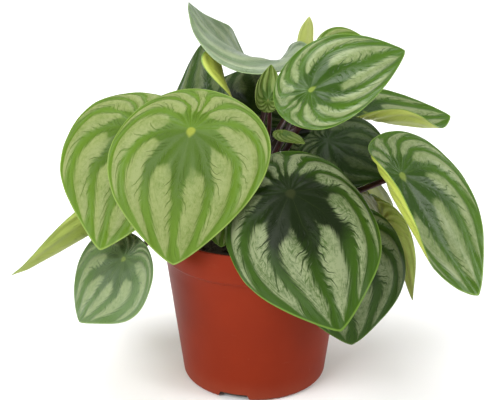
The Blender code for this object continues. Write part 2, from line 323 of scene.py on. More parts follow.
@dataclass(frozen=True)
class Leaf:
    """One blade with its petiole, in millimetres and degrees, as its solids have it."""

    place: tuple[float, float, float]
    heading: float
    nod: float
    roll: float
    length: float
    half_width: float
    tip_bend: float
    right_cup: float
    left_cup: float
    ring: Ring
    root: float
    tone: Tone = Tone.DARK
    base_bend: float = 10
    growth: float = 0
    skew: float = 0
    twist: float = 0
    climb: float = 0
    lean: float = 9
    root_reach: float = 0.35
    neck_reach: float = 0.30
    depth: float = 0.0              # how far painted shade darkens it, deep in the shadow of the others
    bloom: float = 0.0              # how far a painted sheen veils its upper side

    def axes(self) -> tuple[Vector, Vector, Vector]:
        """Unit vectors at the petiole joint: right, towards the tip, and up."""
        heading, nod, roll = (math.radians(angle) for angle in (self.heading, self.nod, self.roll))
        along = Vector((math.cos(heading) * math.cos(nod), math.sin(heading) * math.cos(nod),
                        -math.sin(nod)))
        level_up = Vector((math.cos(heading) * math.sin(nod), math.sin(heading) * math.sin(nod),
                           math.cos(nod)))
        level_right = along.cross(level_up)
        right = math.cos(roll) * level_right - math.sin(roll) * level_up
        up = math.sin(roll) * level_right + math.cos(roll) * level_up
        return right, along, up


# Blades that lie in the shadow of others are given painted shade, and the top and low left blades a painted
# sheen.
LEAVES: dict[str, Leaf] = {
    "front_left": Leaf(
        (-36, -37, 175), -116, 49, 0, 81, 50, 45, 12, 12, MIDDLE, 216, Tone.LIGHT,
        base_bend=4, growth=-0.2, skew=-0.1, twist=-10),
    "left": Leaf(
        (-69, 8, 160), -117, 46, -2, 79, 49, 10, 12, 12, MIDDLE, 186, Tone.LIGHT,
        base_bend=23, growth=-0.3, skew=-0.1, twist=5),
    "front_right": Leaf(
        (20, -60, 146), -66, 38, 15, 86, 53, 12, 70, 60, LOW, -70,
        base_bend=6, growth=-0.2, twist=10),
    "upper_right": Leaf(
        (32, -24, 194), 22, -28, 31, 70, 28, 40, 10, 6, TOP, -10, Tone.MID,
        base_bend=15, growth=-0.2, skew=0.2, twist=10),
    "right": Leaf(
        (87, -15, 138), -31, 53, 13, 85, 44, -5, -80, 6, LOW, -12, Tone.MID,
        base_bend=4, growth=0.1, skew=0.1, twist=15, climb=17),
    "inner_right": Leaf(
        (44, 7, 151), -26, 13, 9, 44, 37, 13, 24, 5, MIDDLE, 17,
        base_bend=17, growth=0.3, skew=-0.1, twist=10, depth=1.0),
    "low_right": Leaf(
        (50, -54, 111), -46, 77, 32, 68, 42, 22, 8, 40, LOW, -36,
        base_bend=4, growth=-0.3, skew=0.2, twist=8, depth=0.45),
    "low_left": Leaf(
        (-77, -34, 92), 205, 40, -1, 47, 43, 20, 4, 4, LOW, 202, Tone.MID,
        base_bend=3, growth=-0.2, skew=0.1, twist=-10,
        climb=60, lean=80, root_reach=0.7, neck_reach=0.40, depth=0.12, bloom=0.22),
    "far_left": Leaf(
        (-74, 7, 109), -166, 29, 41, 87, 25, -4, -54, -52, LOW, 178, Tone.LIGHT,
        climb=62, lean=60),
    "top": Leaf(
        (9, 56, 183), 193, -15, 35, 66, 50, -58, -44, 40, TOP, 102, Tone.MID,
        base_bend=-89, growth=0.6, twist=-36, bloom=0.60),
    "high_right": Leaf(
        (70, 61, 149), 29, 18, 17, 67, 35, -15, -85, 5, TOP, 62, Tone.MID, base_bend=9,
        growth=-0.2, twist=10, climb=83, lean=63, root_reach=0.6, neck_reach=0.34),
    "shoot": Leaf((32, 59, 189), -84, -76, 5, 30, 7, 16, -77, -76, TOP, 30, Tone.YOUNG),
    "crest": Leaf(
        (53, 56, 181), 35, -6, 35, 42, 29, 15, 20, 2, MIDDLE, 66, Tone.LIGHT,
        skew=0.2, twist=6, climb=69, lean=50, root_reach=0.5, neck_reach=0.47),
    "upper_left": Leaf(
        (-29, 24, 158), 90, -47, -17, 53, 44, -7, -105, 42, TOP, 180, Tone.MID,
        growth=0.6, skew=-0.2, twist=-25, depth=0.75),
    "hanging_right": Leaf(
        (80, 8, 99), -5, 68, -25, 58, 16, 5, -80, -80, LOW, 8, Tone.LIGHT,
        climb=56, lean=50, neck_reach=0.47),
    "front_low": Leaf(
        (-17, -38, 132), -100, 50, 0, 28, 20, 20, 25, 25, LOW, -108, Tone.LIGHT,
        depth=0.35),
    "back_left": Leaf((-70, 64, 126), 145, 45, 0, 72, 44, 24, 26, 26, MIDDLE, 136, Tone.LIGHT),
    "back": Leaf((22, 48, 138), 84, -9, 0, 51, 38, 20, 18, 18, MIDDLE, 95),
    "back_right": Leaf((60, 63, 114), 46, 48, 0, 58, 36, 24, 26, 26, LOW, 68, Tone.MID),
    "low_back_left": Leaf(
        (-50, 64, 104), 145, 60, 0, 58, 36, 20, 26, 26, LOW, 146, Tone.MID,
        climb=54, lean=42, neck_reach=0.40),
    "low_back_right": Leaf(
        (68, 42, 102), 34, 62, 0, 46, 26, 20, 26, 26, LOW, 29,
        climb=72, lean=44, neck_reach=0.46),
    "low_back": Leaf(
        (-5, 72, 107), 95, 66, 0, 56, 38, 20, 26, 26, LOW, 94, Tone.LIGHT,
        lean=31, neck_reach=0.35),
    "inner_back": Leaf((0, 50, 156), 95, -22, 0, 52, 40, 24, 24, 24, TOP, 140, depth=0.65),
    "young_front": Leaf(
        (16, -18, 166), -30, 5, 0, 16, 8, 20, 24, 24, TOP, -90, Tone.YOUNG,
        depth=0.45),
    "young_inner": Leaf(
        (8, -2, 180), 80, -60, 0, 22, 9, 0, -60, -60, TOP, -50, Tone.YOUNG,
        depth=0.55),
}


# --- finishes ------------------------------------------------------------------------------

@dataclass(frozen=True)
class VeinFigure:
    """Where a blade's green bands run.  Angles are those at which they leave the joint."""

    angles: tuple[float, ...] = (0, 40, 80, 118, 149, 172)
    half_widths: tuple[float, ...] = (7.0, 8.5, 8.5, 7.0, 5.0, 4.0)
    last_angle: float = 197         # where a band after the last would run
    gather: float = 4.8             # how late the bands turn towards the tip
    margin_rise: float = 78.5       # leaving angle gained round the margin close to the tip,
    margin_rise_within: float = 11  # the angle within which that happens,
    margin_swell: float = 101       # and what is gained evenly on the way to the base

    def margin_label(self, angle: Wire) -> Wire:
        """Which band reaches the margin in a direction.

        Args:
            angle: direction from the joint, in degrees off the tip.

        Returns:
            The leaving angle of the band that ends there, in degrees.
        """
        rise = self.margin_rise * (1 - (angle / -self.margin_rise_within).exp())
        return rise + self.margin_swell * (angle * (math.pi / 360)).sin()

    def nearest(self, label: Wire) -> Wire:
        """Distance to the nearest band, in that band's half widths."""
        size = abs(label)
        distances = [abs(size - angle) / width for angle, width in zip(self.angles, self.half_widths)]
        return functools.reduce(Wire.at_most, distances)

    def course(self, label: Wire) -> Wire:
        """Place among the bands: 0 on the midrib, 1 on the first band, and so on."""
        size = abs(label)
        stops = (*self.angles, self.last_angle)
        spans = [size.span(low, high) for low, high in zip(stops, stops[1:])]
        return functools.reduce(Wire.__add__, spans)


FIGURE = VeinFigure()


@dataclass(frozen=True)
class LeafFinish:
    """Colours and gloss of one kind of blade."""

    band: Colour
    band_deep: Colour
    silver: Colour
    silver_deep: Colour
    rim: Colour
    hub: Colour
    ray: Colour
    under: Colour
    under_vein: Colour
    under_blush: Colour
    roughness: float
    contrast: float = 1.0       # how far the silver stands out from the bands
    opening: float = 0.30       # how far from the joint the silver begins, as a share of the way out
    dark_round: float = 0.2     # how far the dark middle reaches round to the base
    swelling: float = 1.0       # width of the bands against the usual
    fringe: float = 1.0         # raggedness of the bands' edges
    veinlets: float = 1.0       # how plain the fine veins in the silver are
    net: float = 0.30           # how plain the net between them is
    specular: float = 0.16
    sheen: float = 0.0


@dataclass(frozen=True)
class StalkFinish:
    """Colours of a petiole, from the crown to the blade."""

    # Painted shade: the near black that stalks are darkened towards deep in the plant.
    painted_inner_shade: Colour = (0.010, 0.005, 0.004)
    skin: Colour = (0.070, 0.008, 0.011)
    skin_deep: Colour = (0.026, 0.004, 0.006)
    neck: Colour = (0.16, 0.10, 0.025)
    speckle: Colour = (0.22, 0.10, 0.05)


@dataclass(frozen=True)
class PlasticFinish:
    """Colours and gloss of the pot."""

    body: Colour = (0.190, 0.0185, 0.0040)
    body_deep: Colour = (0.140, 0.0125, 0.0030)
    flow: Colour = (0.185, 0.022, 0.007)
    dust: Colour = (0.30, 0.10, 0.06)
    speck: Colour = (0.34, 0.12, 0.08)
    roughness: float = 0.40
    specular: float = 0.07


# Painted shade: the dark green that blades lying in the shadow of others are darkened towards.
SHADED: Colour = (0.012, 0.028, 0.004)
# Painted sheen: the pale blue-grey that stands for white surroundings mirrored at a grazing angle.
PAINTED_SHEEN: Colour = (0.250, 0.300, 0.215)
SHEEN: Colour = (0.85, 0.95, 1.0)

LEAF_FINISHES: dict[Tone, LeafFinish] = {
    Tone.LIGHT: LeafFinish(
        band=(0.078, 0.146, 0.009), band_deep=(0.046, 0.090, 0.005), silver=(0.186, 0.222, 0.075),
        silver_deep=(0.098, 0.146, 0.024), rim=(0.190, 0.270, 0.055), hub=(0.190, 0.225, 0.020),
        ray=(0.070, 0.108, 0.012), under=(0.300, 0.370, 0.065), under_vein=(0.360, 0.420, 0.110),
        under_blush=(0.120, 0.190, 0.022), roughness=0.42, fringe=0.70, veinlets=0.75),
    Tone.MID: LeafFinish(
        band=(0.048, 0.108, 0.006), band_deep=(0.022, 0.056, 0.003), silver=(0.196, 0.240, 0.105),
        silver_deep=(0.080, 0.132, 0.028), rim=(0.150, 0.250, 0.040), hub=(0.140, 0.195, 0.022),
        ray=(0.090, 0.150, 0.020), under=(0.400, 0.460, 0.070), under_vein=(0.440, 0.500, 0.120),
        under_blush=(0.210, 0.280, 0.030), roughness=0.30, dark_round=0.5, swelling=1.22, fringe=0.60,
        veinlets=0.8, net=0.45, specular=0.26, sheen=0.08),
    Tone.DARK: LeafFinish(
        band=(0.026, 0.062, 0.004), band_deep=(0.0060, 0.0120, 0.0020), silver=(0.176, 0.208, 0.106),
        silver_deep=(0.046, 0.080, 0.018), rim=(0.110, 0.190, 0.028), hub=(0.018, 0.024, 0.006),
        ray=(0.026, 0.038, 0.009), under=(0.200, 0.260, 0.040), under_vein=(0.260, 0.320, 0.080),
        under_blush=(0.090, 0.140, 0.018), roughness=0.40, dark_round=0.85, swelling=1.12, net=0.70,
        specular=0.10),
    Tone.YOUNG: LeafFinish(
        band=(0.170, 0.270, 0.030), band_deep=(0.090, 0.180, 0.020), silver=(0.330, 0.400, 0.130),
        silver_deep=(0.240, 0.320, 0.080), rim=(0.380, 0.460, 0.130), hub=(0.300, 0.300, 0.050),
        ray=(0.300, 0.330, 0.080), under=(0.470, 0.520, 0.150), under_vein=(0.540, 0.580, 0.240),
        under_blush=(0.330, 0.400, 0.090), roughness=0.45, contrast=0.6, veinlets=0.4),
}


# --- shader groups -------------------------------------------------------------------------

@dataclass
class LeafFigure:
    """The markings of a blade, for its upper and its under side, as masks."""

    stray: float = 26.0         # how far the bands wander from their course, in degrees
    stray_again: float = 9.0    # the same over shorter stretches
    slope: float = 0.11         # how far the fringe leans towards the tip, for each half width
    streaks_out: float = 46.0   # coarse and fine streaks in the fringe, on the way out
    combs_out: float = 120.0
    veinlets_out: float = 13.0  # veinlets from each side of a band, on the way out
    meshes_out: float = 34.0    # meshes of the net on the way out
    closing: float = 0.88       # where the bands widen into the green margin
    edge: Pair = (0.950, 0.985)    # where the silver ends before the margin
    rim: Pair = (0.980, 0.991)     # where the pale rim begins and is full
    joint: Pair = (0.034, 0.072)   # where the joint's own colour ends

    def __post_init__(self) -> None:
        """Builds the group, with its inputs Opening, Round, Swelling and Ragging."""
        self.graph = graph = shader_group("leaf_figure")
        self.take = graph.take_all(Float=("Opening", "Round", "Swelling", "Ragging"))
        turn, self.out, _ = graph.put("ShaderNodeUVMap", uv_map="leaf_polar").parts()
        flat = graph.put("ShaderNodeUVMap", uv_map="leaf_flat")
        self.broad = graph.noise(flat, 55.0, 2.0)
        self.fine = graph.noise(flat, 420.0, 2.0, 0.6)
        self.leaf = (flat.parts()[0] / SEED_STEP + 0.5).floor()
        self.locate((turn - 0.5) * 360)
        veinlet = self.veinlet()
        hub = (self.out * (0.8 + 0.4 * self.broad)).fade(*self.joint)
        furrow = self.nearest.smooth(0.0, 2.0) * self.out.smooth(0.06, 0.50)
        graph.give("Float", {
            "Silver": self.silver(), "Veinlet": veinlet, "Hub": hub,
            "Ray": self.nearest.fade(0.03, 0.16) * self.out.fade(0.10, 0.45) * (1 - hub),
            "Rim": self.out.smooth(*self.rim), "Shade": self.shade(),
            "Relief": furrow * 0.65 - veinlet * 0.35,
            "Streak": self.streaks, "Net": self.net(), "Speckle": self.fine})

    def locate(self, ideal: Wire) -> None:
        """Finds where a point lies among the bands as they wander.

        Args:
            ideal: leaving angle of the line that would run through it if none wandered.
        """
        graph, out, leaf = self.graph, self.out, self.leaf
        wander = graph.noise(graph.vector(ideal / 55, out * 2.2, leaf * 7.3), 1.0, 1.0) - 0.5
        self.sway = graph.noise(graph.vector(ideal / 17, out * 6, leaf * 3.1), 1.0, 2.0) - 0.5
        strayed = (wander * self.stray + self.sway * self.stray_again) * out.smooth(0.05, 0.4)
        self.label = ideal + strayed
        self.course = FIGURE.course(self.label)
        band = (self.course + 0.5).floor()
        self.beyond = self.course > band    # 1 on the side of the nearest band away from the midrib
        self.family = band * 4 + self.beyond * 2 + (self.label > 0)
        self.nearest = FIGURE.nearest(self.label) / self.take["Swelling"]
        self.sloping = out - self.nearest * self.slope
        self.streaks = graph.noise(graph.vector(self.sloping * self.streaks_out, self.family * 2.7, leaf),
                                   1.0, 2.0, 0.6)

    def silver(self) -> Wire:
        """The silver fields between the bands, with ragged edges."""
        combs = self.graph.noise(self.graph.vector(self.sloping * self.combs_out, self.family * 1.9 + 40,
                                                   self.leaf), 1.0, 1.0)
        start = self.take["Opening"] + (self.broad - 0.5) * 0.22
        closing = self.closing + 0.06 * self.course.at_most(1.0)
        widening = self.out.fade(start, start + 0.20) + self.out.smooth(closing - 0.08, closing + 0.08)
        fringe = (self.streaks - 0.5) * 1.25 + (combs - 0.5) * 0.8
        fringe = fringe * (0.35 + 0.65 * self.beyond) * self.take["Ragging"]
        ragged = self.nearest - 1.5 * widening + fringe + (self.broad - 0.5) * 0.5
        dawn = (self.out + (self.streaks - 0.5) * 0.12).smooth(start - 0.06, start + 0.20)
        return ragged.smooth(0.46, 1.30) * dawn * self.out.fade(*self.edge)

    def veinlet(self) -> Wire:
        """Fine veins that run out of the bands into the silver, each with a reach of its own."""
        graph, out, nearest = self.graph, self.out, self.nearest
        shift = graph.chance(graph.vector(self.family, self.leaf, 5.0)) * 3
        rank = (self.sloping + self.sway * 0.05) * self.veinlets_out + shift
        luck = graph.chance(graph.vector(rank.floor(), self.family, self.leaf))
        reach = 0.3 + 1.6 * luck * (0.3 + 0.7 * self.beyond)
        taper = (1 - (nearest - 0.7) / reach).at_least(0.0)
        off_line = abs(rank.fract() - 0.5 + (self.fine - 0.5) * 0.16 + (self.broad - 0.5) * 0.3)
        line = (taper * 0.17 - off_line).smooth(-0.03, 0.05) * nearest.smooth(0.3, 0.8)
        return line * out.smooth(0.22, 0.34) * out.fade(0.90, 0.97) * (taper > 0.001)

    def net(self) -> Wire:
        """The net of the finest veins, in patches."""
        where = self.graph.vector(self.sloping * self.meshes_out + (self.fine - 0.5) * 0.5,
                                  self.nearest * 1.1 + (self.broad - 0.5) * 2, self.family)
        edge = self.graph.put("ShaderNodeTexVoronoi", {"Vector": where, "Scale": 1.0},
                              feature="DISTANCE_TO_EDGE", voronoi_dimensions="3D")
        return edge.fade(0.0, 0.12) * self.broad.smooth(0.28, 0.55)

    def shade(self) -> Wire:
        """How far the bands darken: in the middle and along the first band."""
        middle = (self.out + (self.broad - 0.5) * 0.5).fade(0.22, 0.86)
        flank = abs(self.label).smooth(55.0, 120.0) * (1 - self.take["Round"])
        first = abs(self.course - 1).fade(0.12, 0.45) * self.out.fade(0.45, 0.85)
        return (middle * (1 - flank) * 1.1 + first * 0.45
                + (self.streaks - 0.5) * 0.35 + (self.broad - 0.5) * 0.6)


def skin_grain_group() -> bpy.types.NodeTree:
    """Fine grain and soft mottling on Object coordinates.

    Returns:
        A group with inputs Size and Patch, in metres, and outputs Grain and Mottle.
    """
    graph = shader_group("skin_grain")
    take = graph.take_all(Float=("Size", "Patch"))
    where = graph.put("ShaderNodeTexCoord", None, "Object")
    fine, wide = (graph.put("ShaderNodeVectorMath", {0: where, "Scale": 1 / size}, operation="SCALE")
                  for size in take.values())
    graph.give("Float", {"Grain": graph.noise(fine, 1.0, 2.0, 0.6),
                         "Mottle": graph.noise(wide, 1.0, 4.0, 0.55)})
    return graph.tree


# --- materials -----------------------------------------------------------------------------

class Surface:
    """A material under construction, with its graph and its Principled shader."""

    def __init__(self, name: str) -> None:
        """Makes the material."""
        self.material = bpy.data.materials.new(name)
        self.material.use_nodes = True
        self.graph = Graph(self.material.node_tree)
        self.shader = self.material.node_tree.nodes["Principled BSDF"]

    def group(self, tree: bpy.types.NodeTree, **values: float) -> list[Wire]:
        """Places a shader group with these input values and gives its outputs."""
        return self.graph.put_all("ShaderNodeGroup", values, node_tree=tree)

    def stored(self, name: str) -> Wire:
        """A number that the mesh holds for every vertex."""
        return self.graph.put("ShaderNodeAttribute", None, "Fac", attribute_name=name,
                              attribute_type="GEOMETRY")

    def finish(self, colour: Feed, rough: Feed, **rest: Feed) -> bpy.types.Material:
        """Feeds the shader and gives the material.

        Args:
            colour: its base colour.
            rough: its roughness.
            **rest: other inputs, named with underscores for spaces.

        Returns:
            The material.
        """
        for name, value in {"Base_Color": colour, "Roughness": rough, **rest}.items():
            self.graph.feed(value, self.shader.inputs[name.replace("_", " ")])
        return self.material

    def bump(self, height: Wire, depth: float, strength: float) -> Wire:
        """A normal from a height of this depth in metres."""
        return self.graph.put("ShaderNodeBump", {"Height": height, "Distance": depth, "Strength": strength})


class Materials:
    """Every material of the plant and its pot, made once from shared groups."""

    def __init__(self) -> None:
        """Builds the shared groups, then the finishes."""
        self.figure = LeafFigure().graph.tree
        self.grain = skin_grain_group()
        self.upper = {tone: self.leaf_upper(tone) for tone in Tone}
        self.under = {tone: self.leaf_under(tone) for tone in Tone}
        self.petiole = self.make_petiole(StalkFinish())
        self.crown = self.make_crown()
        self.pot = self.make_pot(PlasticFinish())
        self.compost = self.make_compost("compost", (0.030, 0.019, 0.012), (0.085, 0.052, 0.030))
        self.crumb = self.make_compost("compost_crumb", (0.040, 0.025, 0.015), (0.120, 0.075, 0.042))
        self.perlite = self.make_compost("perlite", (0.55, 0.53, 0.48), (0.78, 0.77, 0.73))

    def begin(self, name: str, size: float, patch: float) -> tuple[Surface, Graph, Wire, Wire]:
        """A new surface and its graph, with grain and mottling of these sizes in metres."""
        surface = Surface(name)
        return surface, surface.graph, *surface.group(self.grain, Size=size, Patch=patch)

    def marks(self, surface: Surface, finish: LeafFinish) -> list[Wire]:
        """The leaf figure's masks, set for a finish."""
        return surface.group(self.figure, Opening=finish.opening, Round=finish.dark_round,
                             Swelling=finish.swelling, Ragging=finish.fringe)

    def leaf_upper(self, tone: Tone) -> bpy.types.Material:
        """Green bands on silver, with ragged edges, fine veinlets and a pale rim."""
        look = LEAF_FINISHES[tone]
        surface, graph, grain, mottle = self.begin(f"{tone.value}_upper", 0.0006, 0.016)
        silver, veinlet, hub, ray, rim, shade, relief, streak, net, speckle = self.marks(surface, look)
        band = graph.coats(look.band, (shade + (mottle - 0.5) * 0.5, look.band_deep), (ray * 0.4, look.ray))
        faded = ((streak - 0.42) * 1.0 + (mottle - 0.48) * 1.6 + (grain - 0.5) * 0.5
                 + (speckle - 0.48) * 1.6 + net * look.net)
        # Painted sheen, in patches, as much as the blade carries.
        painted_sheen_cover = surface.stored("leaf_bloom") * (0.65 + mottle.smooth(0.35, 0.65) * 0.45)
        colour = graph.coats(
            band,
            (silver * look.contrast, graph.coats(look.silver, (faded, look.silver_deep))),
            (veinlet * 0.9 * look.veinlets, graph.coats(band, (0.35, look.band_deep))),
            (hub, look.hub),
            (rim * 0.8, look.rim),
            # painted shade on blades that lie in the shadow of others
            (surface.stored("leaf_painted_shade") * (0.9 - silver * 0.15), SHADED),
            # a pale painted sheen for the white surroundings mirrored at a grazing angle
            (painted_sheen_cover, PAINTED_SHEEN))
        height = relief + (mottle - 0.5) * 0.8 + (grain - 0.5) * 0.10
        return surface.finish(colour, look.roughness + (mottle - 0.5) * 0.16 + silver * 0.05,
                              Specular_IOR_Level=look.specular, Sheen_Weight=look.sheen,
                              Sheen_Roughness=0.4, Sheen_Tint=(*SHEEN, 1.0),
                              Normal=surface.bump(height, 0.0012, 0.8))

    def leaf_under(self, tone: Tone) -> bpy.types.Material:
        """Pale, smooth under side with raised pale veins."""
        look = LEAF_FINISHES[tone]
        surface, graph, grain, mottle = self.begin(f"{tone.value}_under", 0.0006, 0.02)
        silver, veinlet, _, _, rim, _, relief, *_ = self.marks(surface, look)
        colour = graph.coats(look.under, ((mottle - 0.35) * 1.4, look.under_blush),
                             ((1 - silver) * 0.3, look.under_vein), (veinlet * 0.3, look.under_blush),
                             (rim, look.rim))
        return surface.finish(colour, 0.5 + (mottle - 0.5) * 0.2, Specular_IOR_Level=0.3,
                              Normal=surface.bump((grain - 0.5) * 0.15 - relief, 0.0006, 0.6))

    def make_petiole(self, look: StalkFinish) -> bpy.types.Material:
        """Maroon stalk, dark at the heart of the plant, greener towards the blade, speckled."""
        surface, graph, grain, mottle = self.begin("petiole", 0.0007, 0.006)
        run = surface.stored("stalk_run")
        colour = graph.coats(look.skin, ((mottle - 0.3) * 1.6, look.skin_deep),
                             (run.smooth(0.86, 1.0) * 0.6, look.neck),
                             (grain.smooth(0.62, 0.72) * 0.5, look.speckle),
                             # painted shade towards the root, deep in the shadow of the leaves
                             (run.fade(0.25, 0.90) * 0.85, look.painted_inner_shade))
        return surface.finish(colour, 0.40 + (mottle - 0.5) * 0.2,
                              Normal=surface.bump(grain * 0.4 + mottle, 0.0003, 0.6))

    def make_crown(self) -> bpy.types.Material:
        """Rough stem tissue, brown at the scars and green between them."""
        surface, graph, grain, mottle = self.begin("crown", 0.0009, 0.005)
        colour = graph.coats((0.150, 0.130, 0.040), ((mottle - 0.3) * 2.0, (0.070, 0.035, 0.018)),
                             ((grain - 0.4) * 0.8, (0.20, 0.16, 0.09)))
        return surface.finish(colour, 0.65 + (grain - 0.5) * 0.3,
                              Normal=surface.bump(grain + mottle * 2, 0.0008, 0.8))

    def make_pot(self, look: PlasticFinish) -> bpy.types.Material:
        """Satin injection-moulded plastic with faint flow marks, scuffs and dust."""
        surface, graph, grain, mottle = self.begin("pot", 0.0005, 0.03)
        where = graph.put("ShaderNodeTexCoord", None, "Object")
        low = (where.parts()[2] + (mottle - 0.5) * 0.012).fade(0.0, 0.016)
        flow_run, scuff_run = (graph.put("ShaderNodeMapping", {0: where, "Scale": scale})
                               for scale in ((90, 90, 9), (60, 60, 420)))
        flow = graph.noise(flow_run, 1.0, 3.0)
        scuff = graph.noise(scuff_run, 1.0, 2.0, 0.7).smooth(0.68, 0.76)
        speck = graph.put("ShaderNodeTexVoronoi", {"Vector": where, "Scale": 55.0, "Randomness": 1.0})
        specks = speck.fade(0.030, 0.060) * mottle.smooth(0.50, 0.62)
        colour = graph.coats(look.body, ((mottle - 0.3) * 1.1, look.body_deep),
                             ((flow - 0.4) * 0.5, look.flow), (low * 0.18 + scuff * 0.08, look.dust),
                             (specks * 0.6, look.speck))
        rough = look.roughness + (mottle - 0.5) * 0.12 + low * 0.12 + scuff * 0.06
        return surface.finish(colour, rough, Specular_IOR_Level=look.specular,
                              Normal=surface.bump(grain * 0.5 + flow * 0.5, 0.00012, 0.5))

    def make_compost(self, name: str, dark: Colour, pale: Colour) -> bpy.types.Material:
        """Rough earthy or mineral stuff between two tones."""
        surface, graph, grain, mottle = self.begin(name, 0.0009, 0.006)
        colour = graph.coats(dark, ((mottle - 0.3) * 1.2 + (grain - 0.5), pale))
        return surface.finish(colour, 0.95, Normal=surface.bump(grain + mottle, 0.0010, 0.9))


# --- blades --------------------------------------------------------------------------------

# Inputs of the blade tree that are fields of Leaf, by how they are converted.
MEASURES: dict[Callable[[float], float], tuple[str, ...]] = {
    math.radians: ("Tip Bend", "Base Bend", "Right Cup", "Left Cup", "Twist"),
    float: ("Growth", "Skew", "Depth", "Bloom"),
}


